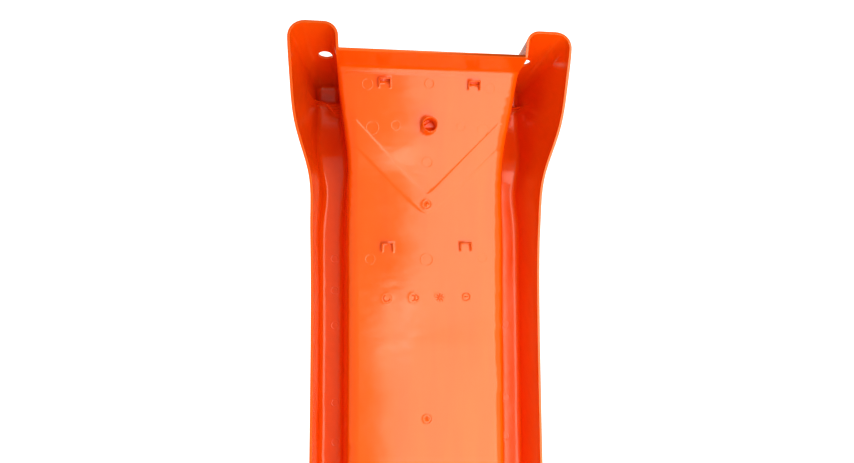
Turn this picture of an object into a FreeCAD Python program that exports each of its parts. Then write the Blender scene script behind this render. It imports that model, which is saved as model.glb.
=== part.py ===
# Two-part chute of a garden play slide with a hose socket under its start section.
# The chute is drawn along its own path: s runs down the slide, y across, n up from the
# underside of the slope towards the child.  place() leans the finished pieces.
import FreeCAD, Part
import math
import os

V = FreeCAD.Vector

# ---- driving dimensions, millimetres and degrees ----
SLOPE = 35.0                    # lean of the main slope
PLATFORM = 1200.0               # floor height at the top edge
WALL = 4.5                      # moulded wall

TIP_S = -398.0                  # ear tips at the rim
LIP_S = -358.0                  # top edge of the floor at the rim
JOIN_S = 790.0                  # upper section ends, lower section starts
BEND_S = 1362.0                 # run-out bend starts
BEND_R = 500.0
END_S = 1918.0                  # rail ends at the foot
FOOT_LIP_S = 1882.0             # bottom edge of the floor
END_LEAN = 0.176                # ear ends and lip lean by 10 degrees
TIP_RIM = -115.0                # rim height at the ear tips

START_S = -165.0                # the start section is flatter than the slope above here
START_TAN = 0.325
FLOOR_CORNER_R = 12.0

RAIL_TOP = 84.5
EAR_RISE = 30.0
EAR_RISE_S = (-190.0, -330.0)
END_DROP = 24.0                 # the rails get lower along the run-out
SKIRT_Y = 213.2                 # half width of the body at n = 0
SKIRT_DRAFT = (0.11, 0.04)      # at the ears, on the slope
EAR_FLARE = 15.3
EAR_FLARE_S = (-160.0, -275.0)
WAIST = 4.5
INNER_Y = 143.0                 # half width between the side walls at n = 0
INNER_DRAFT = (0.02, 0.18)
DRAFT_S = (-260.0, -40.0)       # the drafts change between these
INNER_FLARE = 18.8
INNER_FLARE_S = (-190.0, -380.0)

OUTER_TIP_R = (30.0, 18.0)      # plan corners of the ears, bottom and top
INNER_TIP_R = (24.0, 16.0)
LIP_R = 6.0                     # rounding of the floor's top edge
LIP_INNER_R = 14.0
RAIL_R = 14.0                   # top edges of the rails
FOOT_FLARE_S = (900.0, 1460.0)
FOOT_DEPTH = 350.0

SEAL = 3.0                      # rubber strip between the two sections
OVERLAP = 70.0                  # tongue of the lower section under the upper one
JOIN_GAP = 0.5

HOSE_X = -246.0                 # hose socket, under the start section
HOSE_BORE = 24.1                # G 3/4 thread, minor diameter
HOSE_OD = 28.0
HOSE_TIP = -57.0
HOSE_DEPTH = 22.5
CLIPS = ((-320.0, 81.0), (-24.0, 75.0))     # hose clips, x and y
EAR_HOLE = (-380.4, 186.5, -15.0)
EAR_HOLE_D = 26.0

BOLT = 8.0                      # M8 dome-head bolts, washers and nuts
HEAD = (20.0, 4.4)
WASHER = (20.0, 1.6)
NUT = (13.0, 7.5)
BOLT_LENGTH = 28.0


def smooth(t):
    """0 below 0, 1 above 1, smooth between."""
    t = min(1.0, max(0.0, t))
    return t * t * (3.0 - 2.0 * t)


def between(s, ends):
    return smooth((s - ends[0]) / (ends[1] - ends[0]))


def ramp(a, r):
    """0 for a well below 0, a well above it, rounded between."""
    return a / 2.0 + math.sqrt(a * a / 4.0 + r * r)


def point(s, y, n):
    """Path coordinates to the leaning frame of the slope."""
    lean = END_LEAN * (1.0 - between(s, (-300.0, 60.0))) * (n - TIP_RIM)
    turn = math.radians(SLOPE) * min(1.0, max(0.0, (s - BEND_S) / (BEND_R * math.radians(SLOPE))))
    before = min(s, BEND_S)
    after = max(0.0, s - BEND_S - BEND_R * math.radians(SLOPE))
    x = before + BEND_R * math.sin(turn) + after * math.cos(turn) - n * math.sin(turn)
    z = BEND_R * (1.0 - math.cos(turn)) + after * math.sin(turn) + n * math.cos(turn)
    return V(x + lean, y, z)


def rim_n(s):
    bottom = -22.0 - ramp(0.302 * (-55.0 - s), 7.0) - 6.0 * between(s, (0.0, 600.0))
    return TIP_RIM + ramp(bottom - TIP_RIM, 2.0) - FOOT_DEPTH * between(s, FOOT_FLARE_S)


def floor_n(s):
    """Underside of the floor."""
    return -ramp(START_TAN * (START_S - s - 12.0 * between(s, (-200.0, -360.0))), 7.0)


def top_n(s):
    return RAIL_TOP + EAR_RISE * between(s, EAR_RISE_S) - END_DROP * between(s, (1400.0, 1900.0))


def skirt_y(s):
    waist = WAIST * math.exp(-((s + 140.0) / 50.0) ** 2)
    return SKIRT_Y + EAR_FLARE * between(s, EAR_FLARE_S) - waist + 7.0 * between(s, (0.0, 700.0))


def inner_y(s):
    return INNER_Y + INNER_FLARE * between(s, INNER_FLARE_S) + 4.0 * between(s, (0.0, 700.0))


def stations(a, b, step=40.0):
    count = max(2, int(math.ceil(abs(b - a) / step)))
    return [a + (b - a) * i / count for i in range(count + 1)]


def polygon(s, corners):
    points = [point(s, y, n) for y, n in corners]
    return Part.makePolygon(points + [points[0]])


def near(items, where, reach=0.6):
    """The edges or faces in a list that pass through a point."""
    probe = Part.Vertex(where)
    return [item for item in items if item.distToShape(probe)[0] < reach]


def draft(at_ear, on_slope, s):
    return at_ear + (on_slope - at_ear) * between(s, DRAFT_S)


def wall_outer(s, n):
    return skirt_y(s) - draft(*SKIRT_DRAFT, s) * n


def wall_inner(s, n):
    return inner_y(s) + draft(*INNER_DRAFT, s) * n


def rail(s0, s1, off, drop, cap):
    """One rail as a closed body, walls moved inwards by off; its rounded end is at cap."""
    sections = []
    for s in stations(s0, s1):
        low = rim_n(s) - drop
        high = top_n(s) - off
        sections.append(polygon(s, [
            (wall_outer(s, low) - off, low),
            (wall_outer(s, high) - off, high),
            (wall_inner(s, high) + off, high),
            (wall_inner(s, low) + off, low),
        ]))
    body = Part.makeLoft(sections, True, False)
    if cap is not None:
        n = 0.5 * (top_n(cap) - off + rim_n(cap) - drop)
        corners = ((wall_outer(cap, n) - off, OUTER_TIP_R), (wall_inner(cap, n) + off, INNER_TIP_R))
        for y, (r_low, r_high) in corners:
            edge = near(body.Edges, point(cap, y, n))[0]
            radii = [r_low - off, r_high - off]
            if edge.Vertexes[0].Z > edge.Vertexes[-1].Z:
                radii.reverse()
            body = body.makeFillet(radii[0], radii[1], [edge])
    top = near(body.Faces, rail_ridge(0.5 * (s0 + s1), off), 1.5)[0]
    open_end = []
    for s in (s0, s1):
        if s != cap:
            open_end += near(top.Edges, rail_ridge(s, off), 1.5)
    loop = [edge for edge in top.Edges if not any(edge.isSame(other) for other in open_end)]
    return body.makeFillet(RAIL_R - off, loop)


def rail_ridge(s, off=0.0):
    """Middle of the rail's flat top."""
    n = top_n(s) - off
    return point(s, 0.5 * (wall_outer(s, n) + wall_inner(s, n)), n)


def floor_block(s0, s1, off, drop, step, lip_r):
    """The floor between the rails, filled down to the rim and rounded into the side walls."""
    sections = []
    r = FLOOR_CORNER_R + off
    swing = math.radians(75.0)
    for s in stations(s0, s1, step):
        f = floor_n(s) + WALL - off
        low = rim_n(s) + 1.5 - drop
        y_wall = wall_inner(s, f + r) + off
        y_mid = y_wall + 0.6 - r * math.sin(swing)
        side = y_wall + 12.0

        def arc_point(angle, sign):
            return point(s, sign * (y_mid + r * math.sin(angle)), f + r * (1.0 - math.cos(angle)))

        right = [arc_point(swing * i / 2.0, 1.0) for i in (2, 1, 0)]
        left = [arc_point(swing * i / 2.0, -1.0) for i in (0, 1, 2)]
        corners = [point(s, -side, low), point(s, side, low)]
        shoulders = [point(s, side, f + r), point(s, -side, f + r)]
        edges = [
            Part.LineSegment(corners[0], corners[1]).toShape(),
            Part.LineSegment(corners[1], shoulders[0]).toShape(),
            Part.LineSegment(shoulders[0], right[0]).toShape(),
            Part.Arc(right[0], right[1], right[2]).toShape(),
            Part.LineSegment(right[2], left[0]).toShape(),
            Part.Arc(left[0], left[1], left[2]).toShape(),
            Part.LineSegment(left[2], shoulders[1]).toShape(),
            Part.LineSegment(shoulders[1], corners[0]).toShape(),
        ]
        sections.append(Part.Wire(edges))
    body = Part.makeLoft(sections, True, False)
    if lip_r > 0.0:
        lip = near(body.Edges, point(s0, 0.0, floor_n(s0) + WALL - off), 0.05)
        body = body.makeFillet(lip_r, lip)
    return body


def hull(rail_span, floor_span, off, drop, cap=None, step=40.0, lip_r=0.0):
    """Two rails and the floor between them as one closed body."""
    right = rail(rail_span[0], rail_span[1], off, drop, cap)
    left = right.mirror(V(0, 0, 0), V(0, 1, 0))
    return floor_block(floor_span[0], floor_span[1], off, drop, step, lip_r).fuse([right, left])


def turned(shape, angle, where):
    shape.rotate(V(0, 0, 0), V(0, 1, 0), angle)
    shape.translate(where)
    return shape


def box(x0, x1, y0, y1, z0, z1):
    return Part.makeBox(x1 - x0, y1 - y0, z1 - z0, V(x0, y0, z0))


def hose_clip(x, y, n, tilt, bar):
    """Low U of ribs, open downhill, that a hose clip hooks into."""
    rib = box(-8.0, 8.0, -11.2, 11.2, -6.5, 1.5).cut(box(-6.2, 9.0, -9.4, 9.4, -9.0, 2.0))
    if bar:
        rib = rib.fuse(box(-2.0, 0.0, -9.6, 9.6, -5.0, 1.5))
    return turned(rib, tilt, V(x, y, n))


def floor_under(x):
    """Height of the floor's underside at a distance x down the slope."""
    s = x
    for _ in range(4):
        s = x - (point(s, 0.0, floor_n(s)).x - s)
    return floor_n(s)


def ear_web(side):
    """Stepped gusset between the ear's roof and its inner wall, and the thin web that ties it to the skirt."""
    plan = [V(-289.0, 160.0, 74.0), V(-289.0, 176.0, 74.0), V(-311.0, 194.0, 74.0), V(-311.0, 160.0, 74.0)]
    web = Part.Face(Part.makePolygon(plan + [plan[0]])).extrude(V(0, 0, 38.0))
    for i in range(5):
        x = -290.5 - 4.6 * i
        web = web.fuse(box(x - 0.7, x + 0.7, 160.0, 175.0 + 3.6 * i, 72.4, 75.0))
    tie = box(-1.2, 1.2, 0.0, 40.0, 71.0, 112.0)
    tie.rotate(V(0, 0, 0), V(0, 0, 1), 16.0)
    tie.translate(V(-309.5, 191.0, 0.0))
    web = web.fuse(tie)
    return web if side > 0.0 else web.mirror(V(0, 0, 0), V(0, 1, 0))


def fixing():
    """Bolt, washer, nut and hole of one join, standing on z = 0 and pointing down."""
    down = V(0, 0, -1)
    stack = 2.0 * WALL + JOIN_GAP
    head = Part.makeCylinder(HEAD[0] / 2.0, HEAD[1])
    head = head.makeFillet(HEAD[1] * 0.85, near(head.Edges, V(HEAD[0] / 2.0, 0, HEAD[1])))
    bolt = head.fuse(Part.makeCylinder(BOLT / 2.0, BOLT_LENGTH, V(0, 0, 0), down))
    shank = Part.makeCylinder(BOLT / 2.0, 60.0, V(0, 0, -50.0))
    washer = Part.makeCylinder(WASHER[0] / 2.0, WASHER[1], V(0, 0, -stack), down).cut(shank)
    seat = -stack - WASHER[1]
    reach = NUT[0] / math.sqrt(3.0)
    corners = [V(reach * math.cos(a), reach * math.sin(a), seat) for a in
               [math.radians(60.0 * i) for i in range(6)]]
    nut = Part.Face(Part.makePolygon(corners + [corners[0]])).extrude(down * NUT[1]).cut(shank)
    hole = Part.makeCylinder(BOLT / 2.0 + 0.5, stack + 6.0, V(0, 0, 3.0), down)
    return bolt.removeSplitter(), washer, nut, hole


def seated(shape, where, inward):
    copy = shape.copy()
    copy.Placement = FreeCAD.Placement(where, FreeCAD.Rotation(V(0, 0, -1), inward))
    return copy


def rail_seats():
    """Places and directions of the four joins through the rail tops."""
    seats = []
    for s in (JOIN_S - 50.0, JOIN_S - 18.0):
        ridge = rail_ridge(s)
        for side in (1.0, -1.0):
            seats.append((V(ridge.x, side * ridge.y, ridge.z), V(0, 0, -1)))
    return seats


def skirt_seats():
    """Places and directions of the four joins through the skirts."""
    seats = []
    tilt = math.atan(draft(*SKIRT_DRAFT, JOIN_S))
    for n in (2.0, 50.0):
        where = point(JOIN_S - 34.0, wall_outer(JOIN_S - 34.0, n), n)
        for side in (1.0, -1.0):
            inward = V(0, -side * math.cos(tilt), -math.sin(tilt))
            seats.append((V(where.x, side * where.y, where.z), inward))
    return seats


def upper_section(holes):
    tip = TIP_S + WALL
    shell = hull((TIP_S, JOIN_S), (LIP_S, JOIN_S), 0.0, 0.0, TIP_S, 20.0, LIP_R)
    hollow = hull((tip, JOIN_S + 10.0), (LIP_S + WALL, JOIN_S + 12.0), WALL, 30.0, tip, 20.0, LIP_INNER_R)
    solid = shell.copy()
    shell = shell.cut(hollow)
    tilt = math.degrees(math.atan(START_TAN))
    above = turned(box(-40.0, 40.0, -40.0, 40.0, 2.2, 60.0), -tilt, V(HOSE_X, 0.0, floor_under(HOSE_X)))
    extras = [Part.makeCylinder(HOSE_OD / 2.0, 40.0, V(HOSE_X, 0, HOSE_TIP)).cut(above)]
    for side in (1.0, -1.0):
        (x_up, y_up), (x_low, y_low) = CLIPS
        extras.append(hose_clip(x_up, side * y_up, floor_under(x_up), -tilt, True))
        extras.append(hose_clip(x_low, side * y_low, floor_under(x_low), 0.0, False))
        extras.append(ear_web(side).common(solid))
    shell = shell.fuse(extras)
    cuts = [Part.makeCylinder(HOSE_BORE / 2.0, HOSE_DEPTH + 5.0, V(HOSE_X, 0, HOSE_TIP - 5.0))]
    for side in (1.0, -1.0):
        x, y, n = EAR_HOLE
        axis = V(1.0, 0.0, -END_LEAN).normalize()
        cuts.append(Part.makeCylinder(EAR_HOLE_D / 2.0, 60.0, V(x, side * y, n) - axis * 30.0, axis))
    return shell.cut(cuts + holes)


def lower_section(holes):
    start = JOIN_S + SEAL
    tuck = WALL + JOIN_GAP
    body = hull((start, END_S), (start, FOOT_LIP_S), 0.0, 0.0, END_S)
    tongue = hull((JOIN_S - OVERLAP, start + 12.0), (JOIN_S - OVERLAP, start + 13.0), tuck, -2.0)
    tip = END_S - WALL
    body_hollow = hull((start + WALL, tip), (start + WALL + 1.0, FOOT_LIP_S - WALL), WALL, 30.0, tip)
    neck = hull((JOIN_S - OVERLAP - 10.0, start + 18.0), (JOIN_S - OVERLAP - 12.0, start + 19.0),
                tuck + WALL, 32.0)
    return body.fuse(tongue).cut([body_hollow, neck] + holes)


def seal_strip():
    outer = hull((JOIN_S, JOIN_S + SEAL), (JOIN_S, JOIN_S + SEAL), 0.0, -1.0)
    inner = hull((JOIN_S - 5.0, JOIN_S + SEAL + 5.0), (JOIN_S - 6.0, JOIN_S + SEAL + 6.0), WALL, 30.0)
    return outer.cut(inner)


def place(shape, shift):
    """Lean the finished piece at the slope angle and stand the slide on z = 0."""
    copy = shape.copy()
    copy.Placement = FreeCAD.Placement(shift, FreeCAD.Rotation(V(0, 1, 0), SLOPE)).multiply(copy.Placement)
    return copy


def export(name, shape):
    print(name, shape.ShapeType, shape.isValid(), len(shape.Solids), round(shape.Volume / 1000.0, 1))
    shape.exportStep("parts/" + name + ".step")


def main():
    os.makedirs("parts", exist_ok=True)
    bolt, washer, nut, hole = fixing()
    groups = {"rail": rail_seats(), "skirt": skirt_seats()}
    holes = [seated(hole, *seat) for seats in groups.values() for seat in seats]
    upper = upper_section(holes)
    lower = lower_section(holes)

    lean = FreeCAD.Rotation(V(0, 1, 0), SLOPE)
    lip = lean.multVec(point(LIP_S, 0.0, floor_n(LIP_S) + WALL))
    head = lean.multVec(point(TIP_S, 0.0, TIP_RIM))
    foot = lean.multVec(point(END_S, 0.0, 0.0))
    shift = V(-0.5 * (head.x + foot.x), 0.0, PLATFORM - lip.z)

    ground = Part.makeBox(4000.0, 2000.0, 1000.0, V(-2000.0, -1000.0, -1000.0))
    export("upper_chute", place(upper, shift))
    export("lower_chute", place(lower, shift).cut(ground))
    export("joint_seal", place(seal_strip(), shift))
    for name, seats in groups.items():
        for kind, piece in (("bolts", bolt), ("washers", washer), ("nuts", nut)):
            pieces = [place(seated(piece, *seat), shift) for seat in seats]
            export(name + "_" + kind, Part.makeCompound(pieces))


main()
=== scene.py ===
import bpy
import bmesh
import math
from mathutils import Matrix, Vector
from mathutils.bvhtree import BVHTree
from mathutils.geometry import delaunay_2d_cdt


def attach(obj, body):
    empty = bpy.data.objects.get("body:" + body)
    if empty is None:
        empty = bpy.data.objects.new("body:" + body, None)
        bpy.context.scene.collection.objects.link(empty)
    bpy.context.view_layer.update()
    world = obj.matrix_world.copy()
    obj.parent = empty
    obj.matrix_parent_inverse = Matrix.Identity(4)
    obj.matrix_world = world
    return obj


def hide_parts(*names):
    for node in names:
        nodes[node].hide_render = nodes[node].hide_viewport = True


# Play slide chute, seen from below: moulded relief, materials, studio and camera.

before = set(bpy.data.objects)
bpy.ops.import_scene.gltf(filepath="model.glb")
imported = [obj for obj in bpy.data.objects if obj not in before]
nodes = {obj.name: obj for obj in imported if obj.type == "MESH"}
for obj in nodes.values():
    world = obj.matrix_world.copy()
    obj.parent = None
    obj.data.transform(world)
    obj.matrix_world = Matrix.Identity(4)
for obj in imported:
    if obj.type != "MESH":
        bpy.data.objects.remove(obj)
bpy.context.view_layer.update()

# ---- the chute's own frame: x down the slope, y across, n up from the slope's underside, in mm ----
LEAN = math.radians(35.0)
SHIFT = Vector((-0.6305284, 0.0, 1.0458765))
TO_WORLD = Matrix.Translation(SHIFT) @ Matrix.Rotation(LEAN, 4, "Y") @ Matrix.Scale(0.001, 4)
TO_CHUTE = TO_WORLD.inverted()

# ---- moulded marks, in mm; relief is positive towards the viewer, which is along -n ----
EJECTORS = []                                      # x, y, radius of a shallow round mark
for x, y, r in ((-243, 103, 11.0), (-248, 61, 8.0), (-316, 112, 9.0), (-2, 107.7, 9.0)):
    EJECTORS += [(x, y, r), (x, -y, r)]
EJECTORS += [(-320.0, 0.0, 8.0), (-183.5, 0.0, 9.5), (0.0, 0.0, 11.5)]
GATES = ((-105.3, 0.0), (303.8, 0.0))
STAMPS = ((72.6, 76.0), (72.6, 25.0), (72.6, -25.0), (72.6, -76.0))
RAIL_EJECTORS = [(x, 177.5) for x in (1, 65, 136, 292, 372)] + [(x, -177.5) for x in (143, 298, 379)]

RING_RISE, RING_DISH = 0.27, 0.13                  # an ejector mark's ring, and the dip inside it
GATE_RING_R, GATE_RING_RISE, GATE_PIP_RISE = 9.0, 0.8, 2.6
STAMP_R, STAMP_RISE = 9.6, 1.5                     # outer circle, and the height of the mark in it
RAIL_RING_R, RAIL_RING_RISE, RAIL_RING_DISH = 7.5, 0.35, 0.25
CHEVRON_RISE, CHEVRON_TOP = 0.85, -275.0           # the band fades out above that x

# ---- where the meshes are refined ----
GRID = 4.0                                         # spacing of the even grid
FLOOR_X, FLOOR_HALF = (-334.0, 785.0), 150.0       # the floor's flat part
RAIL_X, RAIL_Y = (-150.0, 700.0), (158.0, 206.0)   # the rails' roofs
RAIL_GRID_Y = 160.0                                # first row of the roofs' grid
FACING = -0.8                                      # a face whose normal's n is below this faces the viewer
WELD = 0.002
FAR = 400.0                                        # start of a ray that looks for the surface
CELL = 5                                           # border points are looked up in squares of this size
BORDER_STEP, BORDER_GAP_SQ = 2.0, 1.2              # their spacing, and the square of the gap kept to them
SMOOTH_ANGLE = 28.0

# ---- the floor's underside: level with the slope, then flatter above START_X ----
START_X, START_RISE, BLEND_SQ = -165.0, 0.325, 49.0


def bump(distance, half, height):
    """Rounded ridge of that half width."""
    t = abs(distance) / half
    return height * (1.0 - t * t) ** 2 if t < 1.0 else 0.0


def step(distance, soft):
    """1 well inside (distance > soft), 0 outside, smooth between."""
    t = min(1.0, max(0.0, 0.5 + distance / (2.0 * soft)))
    return t * t * (3.0 - 2.0 * t)


def ring_height(x, y):
    h = 0.0
    for cx, cy, r in EJECTORS:
        d = math.hypot(x - cx, y - cy)
        if d < r + 2.0:
            h += bump(d - r, 1.3, RING_RISE) - RING_DISH * step(r - d, 0.8)
    return h


def gate_height(x, y):
    h = 0.0
    for cx, cy in GATES:
        d = math.hypot(x - cx, y - cy)
        if d < 12.0:
            pip = math.hypot(x - cx, y - cy + 1.2)
            ring, dish = bump(d - GATE_RING_R, 1.4, GATE_RING_RISE), 0.4 * step(8.0 - d, 0.9)
            h += ring + bump(pip, 4.2, GATE_PIP_RISE) - dish
    return h


def stamp_height(x, y):
    h = 0.0
    for i, (cx, cy) in enumerate(STAMPS):
        dx, dy = x - cx, y - cy
        d = math.hypot(dx, dy)
        if d > 11.5:
            continue
        a = math.atan2(dy, dx)
        h += bump(d - STAMP_R, 0.9, 0.25)
        if i == 0:                                 # broken ring
            h += bump(d - 6.0, 1.2, STAMP_RISE) * step(math.cos(a - 0.6) + 0.45, 0.2)
        elif i == 1:                               # two crescents
            for offset in (-3.4, 2.6):
                ridge = bump(math.hypot(dx, dy - offset) - 5.2, 1.1, STAMP_RISE)
                h += ridge * step(offset - dy - 0.5, 0.8)
        elif i == 2:                               # eight spokes
            h += bump(math.sin(4.0 * a) * d * 0.25, 0.75, STAMP_RISE) * step(8.0 - d, 0.8)
        else:                                      # ring with a bar
            h += bump(d - 7.2, 1.1, 1.3) + bump(dx, 1.1, STAMP_RISE) * step(3.4 - abs(dy), 0.6)
    return h


def chevron_edges(y):
    """Downhill and uphill edge of the band, as x at that y."""
    return -76.0 - math.sqrt(y * y + 144.0), -121.0 - 1.02 * math.sqrt(y * y + 25.0)


def chevron_height(x, y):
    """Wide shallow V band with a rounded apex downhill."""
    outer, inner = chevron_edges(y)
    return CHEVRON_RISE * step(outer - x, 1.1) * step(x - inner, 1.7) * step(x - CHEVRON_TOP, 10.0)


def floor_relief(x, y):
    return ring_height(x, y) + gate_height(x, y) + stamp_height(x, y) + chevron_height(x, y)


def rail_relief(x, y):
    h = 0.0
    for cx, cy in RAIL_EJECTORS:
        d = math.hypot(x - cx, y - cy)
        if d < 10.0:
            h += bump(d - RAIL_RING_R, 1.2, RAIL_RING_RISE) - RAIL_RING_DISH * step(RAIL_RING_R - d, 0.8)
    return h


def polar(cx, cy, radii, count):
    return [(cx + r * math.cos(2.0 * math.pi * i / count), cy + r * math.sin(2.0 * math.pi * i / count))
            for r in radii for i in range(count)]


def rail_points():
    """Where the rails' roofs need vertices: an even grid, and rings of them at each mark."""
    grid = [(GRID * i, side * (RAIL_GRID_Y + GRID * j))
            for i in range(-40, 110) for j in range(11) for side in (-1, 1)]
    points = [p for p in grid if all(math.hypot(p[0] - x, p[1] - y) > 10.0 for x, y in RAIL_EJECTORS)]
    for x, y in RAIL_EJECTORS:
        points += polar(x, y, (3.0, 5.7, 6.3, 6.9, 7.5, 8.1, 8.8, 9.6), 32)
    return points


def floor_points():
    """Where the floor's mesh needs vertices: an even grid, and more of them at each mark."""
    marks = [(x, y, r + 2.5) for x, y, r in EJECTORS]
    marks += [(x, y, 12.5) for x, y in GATES] + [(x, y, 11.0) for x, y in STAMPS]

    def clear(x, y):
        return all((x - cx) ** 2 + (y - cy) ** 2 > r * r for cx, cy, r in marks)

    points = []
    for x, y, r in EJECTORS:
        points += polar(x, y, [r + d for d in (-1.9, -1.3, -0.65, 0.0, 0.65, 1.3, 1.9)], 40)
    for x, y in GATES:
        points += polar(x, y, (1.0, 2.0, 3.0, 6.5, 7.1, 7.8, 8.5, 9.2, 10.0, 11.5), 36) + [(x, y)]
    for x, y in STAMPS:
        points += [(x + 0.55 * i, y + 0.55 * j) for i in range(-18, 19) for j in range(-18, 19)
                   if i * i + j * j < 18.5 ** 2]
    points += [(i * GRID, j * GRID) for i in range(-85, 196) for j in range(-33, 34)
               if clear(i * GRID, j * GRID)]
    for i in range(-66, 67):                       # along the chevron's edges
        y = i * 2.0
        for edge in chevron_edges(y):
            for d in (-2.4, -1.6, -0.8, 0.0, 0.8, 1.6, 2.4):
                if clear(edge + d, y):
                    points.append((edge + d + 0.13, y + 0.07))   # shifted off the grid's lines
    return points


def refine(mesh, chosen, points, relief):
    """Swaps a gently curved region that faces the viewer for a finer one with relief, keeping its border.
    chosen(centre, normal) picks the region's faces; points are x, y."""
    bm = bmesh.new()
    bm.from_mesh(mesh)
    region = [f for f in bm.faces if chosen(f.calc_center_median(), f.normal)]
    inside = set(region)
    border = list(dict.fromkeys(e for f in region for e in f.edges
                                if sum(1 for g in e.link_faces if g in inside) == 1))
    verts = list(dict.fromkeys(v for e in border for v in e.verts))
    index = {v: i for i, v in enumerate(verts)}
    flat = [Vector((v.co.x, v.co.y)) for v in verts]
    edges = [(index[e.verts[0]], index[e.verts[1]]) for e in border]
    surface = BVHTree.FromPolygons([v.co[:] for v in bm.verts], [[v.index for v in f.verts] for f in region])

    def surface_point(x, y):
        return surface.ray_cast(Vector((x, y, -FAR)), Vector((0, 0, 1)))[0]

    cells = {}
    for a, b in edges:
        a, b = flat[a], flat[b]
        count = max(1, int((b - a).length / BORDER_STEP))
        for i in range(count + 1):
            p = a.lerp(b, i / count)
            cells.setdefault((int(p.x // CELL), int(p.y // CELL)), []).append(p)
    heights = {}
    kept = []
    for x, y in points:
        cx, cy = int(x // CELL), int(y // CELL)
        close = any((p.x - x) ** 2 + (p.y - y) ** 2 < BORDER_GAP_SQ
                    for i in (-1, 0, 1) for j in (-1, 0, 1) for p in cells.get((cx + i, cy + j), ()))
        if close:
            continue
        hit = surface_point(x, y)
        if hit is None:
            continue
        kept.append(Vector((x, y)))
        heights[len(verts) + len(kept) - 1] = hit.z
    out = delaunay_2d_cdt(flat + kept, edges, [], 0, 1e-5)
    new = []
    for co, sources in zip(out[0], out[3]):
        border_source = [i for i in sources if i < len(verts)]
        if border_source:
            new.append(verts[border_source[0]])
            continue
        n = heights[sources[0]] if sources else surface_point(co.x, co.y).z
        new.append(bm.verts.new((co.x, co.y, n - relief(co.x, co.y))))
    bmesh.ops.delete(bm, geom=region, context="FACES_ONLY")
    for tri in out[2]:
        centre = sum((out[0][i] for i in tri), Vector((0.0, 0.0))) / len(tri)
        if surface_point(centre.x, centre.y) is None:
            continue
        corners = [new[i] for i in reversed(tri)]
        if len(set(corners)) == 3 and bm.faces.get(corners) is None:
            bm.faces.new(corners)
    bmesh.ops.delete(bm, geom=[v for v in bm.verts if not v.link_faces], context="VERTS")
    bm.to_mesh(mesh)
    bm.free()


def weld(mesh):
    bm = bmesh.new()
    bm.from_mesh(mesh)
    bmesh.ops.remove_doubles(bm, verts=bm.verts, dist=WELD)
    bm.to_mesh(mesh)
    bm.free()


def floor_under(x):
    """n of the floor's underside."""
    a = START_RISE * (START_X - x)
    return -(a / 2.0 + math.sqrt(a * a / 4.0 + BLEND_SQ))


def on_floor(centre, normal):
    return (normal.z < FACING and abs(centre.y) < FLOOR_HALF and FLOOR_X[0] < centre.x < FLOOR_X[1]
            and abs(centre.z - floor_under(centre.x)) < 5.0)


def on_rail_roof(centre, normal):
    return (normal.z < FACING and RAIL_Y[0] < abs(centre.y) < RAIL_Y[1]
            and RAIL_X[0] < centre.x < RAIL_X[1] and centre.z > 60.0)


upper = bpy.data.objects.new("upper_moulding", nodes["upper_chute"].data.copy())
bpy.context.scene.collection.objects.link(upper)
mesh = upper.data
mesh.transform(TO_CHUTE)
weld(mesh)
refine(mesh, on_floor, floor_points(), floor_relief)
refine(mesh, on_rail_roof, rail_points(), rail_relief)
mesh.transform(TO_WORLD)
mesh.polygons.foreach_set("use_smooth", [True] * len(mesh.polygons))
mesh.set_sharp_from_angle(angle=math.radians(SMOOTH_ANGLE))


# ---- materials ----
def node(tree, kind, **inputs):
    """New shader node; each keyword sets the node's own setting or, failing that, its socket."""
    n = tree.nodes.new(kind)
    for key, value in inputs.items():
        if hasattr(n, key) and key not in n.inputs:
            setattr(n, key, value)
        else:
            n.inputs[key].default_value = value
    return n


def new_material(name, **inputs):
    """Material with one Principled shader; returns it with its node tree, shader and object coordinates."""
    material = bpy.data.materials.new(name)
    material.use_nodes = True
    tree = material.node_tree
    tree.nodes.clear()
    bsdf = node(tree, "ShaderNodeBsdfPrincipled", **inputs)
    out = node(tree, "ShaderNodeOutputMaterial")
    tree.links.new(bsdf.outputs["BSDF"], out.inputs["Surface"])
    return material, tree, bsdf, node(tree, "ShaderNodeTexCoord").outputs["Object"]


def mapped(tree, coords, rotation, scale):
    n = node(tree, "ShaderNodeMapping", Rotation=rotation, Scale=scale)
    tree.links.new(coords, n.inputs["Vector"])
    return n.outputs["Vector"]


def noise(tree, coords, scale, detail):
    n = node(tree, "ShaderNodeTexNoise", Scale=scale, Detail=detail)
    tree.links.new(coords, n.inputs["Vector"])
    return n.outputs["Fac"]


def remap(tree, source, limits, kind="LINEAR"):
    """limits are From Min, From Max, To Min and To Max."""
    n = node(tree, "ShaderNodeMapRange", interpolation_type=kind)
    for socket, value in zip(("From Min", "From Max", "To Min", "To Max"), limits):
        n.inputs[socket].default_value = value
    tree.links.new(source, n.inputs["Value"])
    return n.outputs["Result"]


def blend(tree, factor, first, second):
    n = node(tree, "ShaderNodeMix", data_type="RGBA")
    n.inputs["A"].default_value = (*first, 1.0)
    n.inputs["B"].default_value = (*second, 1.0)
    tree.links.new(factor, n.inputs["Factor"])
    return n.outputs["Result"]


def rounded(tree, radius, samples):
    return node(tree, "ShaderNodeBevel", samples=samples, Radius=radius).outputs["Normal"]


def raised(tree, height, strength, distance, normal=None):
    n = node(tree, "ShaderNodeBump", Strength=strength, Distance=distance)
    tree.links.new(height, n.inputs["Height"])
    if normal:
        tree.links.new(normal, n.inputs["Normal"])
    return n.outputs["Normal"]


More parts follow.
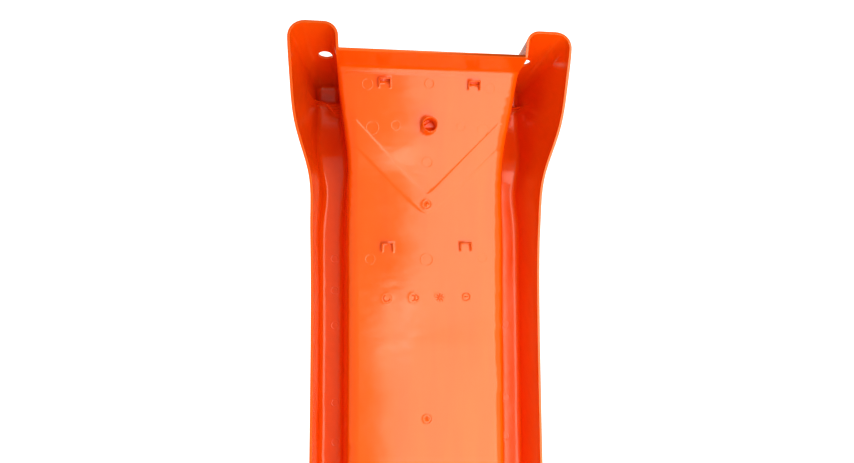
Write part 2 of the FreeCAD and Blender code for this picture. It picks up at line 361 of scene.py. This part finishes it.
def plastic(name, base, deep):
    """Glossy moulded polypropylene: fine grain, weak waves, faint flow streaks, small scuffs."""
    material, tree, bsdf, coords = new_material(name, IOR=1.49, **{"Specular IOR Level": 0.85})
    link = tree.links.new
    flow = noise(tree, mapped(tree, coords, (0.0, -LEAN, 0.0), (1.5, 14.0, 3.0)), 2.2, 5.0)
    waves = noise(tree, mapped(tree, coords, (0.0, LEAN, 0.0), (15.0, 5.0, 8.0)), 1.0, 3.0)
    scuff = noise(tree, coords, 60.0, 8.0)
    link(blend(tree, remap(tree, flow, (0.35, 0.7, 0.0, 0.5)), base, deep), bsdf.inputs["Base Color"])
    link(remap(tree, scuff, (0.3, 0.75, 0.12, 0.21)), bsdf.inputs["Roughness"])
    swell = raised(tree, waves, 0.8, 0.003, rounded(tree, 0.0012, 6))
    link(raised(tree, noise(tree, coords, 900.0, 3.0), 0.10, 0.0002, swell), bsdf.inputs["Normal"])
    return material


def metal(name, base):
    """Bright zinc plate with faint mottling."""
    material, tree, bsdf, coords = new_material(name, Metallic=1.0)
    link = tree.links.new
    mottle = noise(tree, coords, 350.0, 4.0)
    dull = (base[0] * 0.78, base[1] * 0.8, base[2] * 0.86)
    link(blend(tree, mottle, base, dull), bsdf.inputs["Base Color"])
    link(remap(tree, mottle, (0.0, 1.0, 0.24, 0.42)), bsdf.inputs["Roughness"])
    link(raised(tree, mottle, 0.15, 0.0002, rounded(tree, 0.0004, 4)), bsdf.inputs["Normal"])
    return material


def matt(name, base, spread, scale, roughness):
    """Rubber, or the studio floor."""
    material, tree, bsdf, coords = new_material(name, Roughness=roughness)
    link = tree.links.new
    grain = noise(tree, coords, scale, 6.0)
    darker = [c * (1.0 - spread) for c in base]
    lighter = [min(1.0, c * (1.0 + spread)) for c in base]
    link(blend(tree, grain, darker, lighter), bsdf.inputs["Base Color"])
    link(raised(tree, grain, 0.2, 0.0004), bsdf.inputs["Normal"])
    return material


orange = plastic("moulded orange", (0.92, 0.162, 0.003), (0.89, 0.140, 0.002))
rubber = matt("seal rubber", (0.03, 0.03, 0.032), 0.3, 500.0, 0.8)
zinc = metal("zinc plate", (0.78, 0.79, 0.80))

upper.data.materials.clear()
upper.data.materials.append(orange)
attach(upper, "root")
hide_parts("upper_chute")

for name, obj in nodes.items():
    obj.data.materials.clear()
    look = rubber if name == "joint_seal" else orange if name.endswith("chute") else zinc
    obj.data.materials.append(look)

# ---- studio ----
bpy.ops.mesh.primitive_plane_add(size=24.0, location=(0.0, 0.0, 0.0))
ground = bpy.context.object
ground.name = "studio_floor"
ground.data.materials.append(matt("pale floor", (0.86, 0.86, 0.85), 0.02, 3.0, 0.7))

# the world's light grows towards the slope's upper side; the backdrop itself is plain white
world = bpy.data.worlds.new("studio")
world.use_nodes = True
sky = world.node_tree
background = sky.nodes["Background"]
background.inputs["Color"].default_value = (1.0, 1.0, 1.0, 1.0)
upward = node(sky, "ShaderNodeVectorMath", operation="DOT_PRODUCT")
upward.inputs[1].default_value = (math.sin(LEAN), 0.0, math.cos(LEAN))
sky.links.new(node(sky, "ShaderNodeTexCoord").outputs["Generated"], upward.inputs[0])
level = remap(sky, upward.outputs["Value"], (-0.15, 0.25, 0.16, 0.6), "SMOOTHSTEP")
backdrop = node(sky, "ShaderNodeLightPath")
seen = node(sky, "ShaderNodeMath", operation="MAXIMUM")
sky.links.new(level, seen.inputs[0])
sky.links.new(backdrop.outputs["Is Camera Ray"], seen.inputs[1])
sky.links.new(seen.outputs["Value"], background.inputs["Strength"])
bpy.context.scene.world = world


def chute_point(x, y, n):
    return TO_WORLD @ Vector((x, y, n))


def soft_box(name, where, target, width, height, radiance):
    """Rectangular light; its power follows from how bright its face should look."""
    light = bpy.data.lights.new(name, "AREA")
    light.shape = "RECTANGLE"
    light.size = width
    light.size_y = height
    light.energy = radiance * math.pi * width * height
    obj = bpy.data.objects.new(name, light)
    obj.location = where
    obj.rotation_euler = (target - where).to_track_quat("-Z", "Y").to_euler()
    obj.visible_camera = False
    bpy.context.scene.collection.objects.link(obj)
    return obj


key = soft_box("key", chute_point(-120.0, -445.0, -1010.0), chute_point(-120.0, -400.0, 0.0), 0.77, 1.2, 1.5)
soft_box("side key", chute_point(300.0, 0.0, -1000.0), chute_point(100.0, 60.0, 0.0), 0.13, 0.24, 1.5)
soft_box("low key", Vector((-0.40, -0.38, 0.012)), Vector((-0.40, -0.38, 1.0)), 0.98, 0.88, 1.5)
soft_box("top light", Vector((1.1, -1.7, 2.7)), Vector((-0.1, 0.0, 0.6)), 1.4, 1.4, 3.2)
unlit = bpy.data.collections.new("not lit by the key")   # its lower edge would draw a line on the floor
unlit.objects.link(ground)
unlit.collection_objects[0].light_linking.link_state = "EXCLUDE"
key.light_linking.receiver_collection = unlit

# ---- camera: below the slope, looking square at its underside ----
SENSOR_MM, FOCAL_PX, FRAME_PX = 36.0, 500.0, 854.0
YAW, PITCH, ROLL = math.radians(7.31), math.radians(0.13), math.radians(0.21)
camera = bpy.data.cameras.new("camera")
camera.sensor_width = SENSOR_MM
camera.lens = FOCAL_PX / FRAME_PX * SENSOR_MM
camera.clip_start = 0.01
camera.clip_end = 100.0
view = bpy.data.objects.new("camera", camera)
# the rows of turn are the camera's axes in (right, uphill, away from the child's side) coordinates
turn = Matrix.Rotation(ROLL, 3, "Z") @ Matrix.Rotation(PITCH, 3, "X") @ Matrix.Rotation(YAW, 3, "Y")
to_chute = Matrix(((0.0, -1.0, 0.0), (-1.0, 0.0, 0.0), (0.0, 0.0, -1.0)))   # those coordinates to x, y, n
place = (Matrix.Rotation(LEAN, 3, "Y") @ to_chute @ turn.transposed()).to_4x4()
place.translation = chute_point(-55.6, 120.5, -945.1)
view.matrix_world = place
bpy.context.scene.collection.objects.link(view)
bpy.context.scene.camera = view
bpy.context.scene.view_settings.view_transform = "Standard"
bpy.context.scene.view_settings.look = "High Contrast"
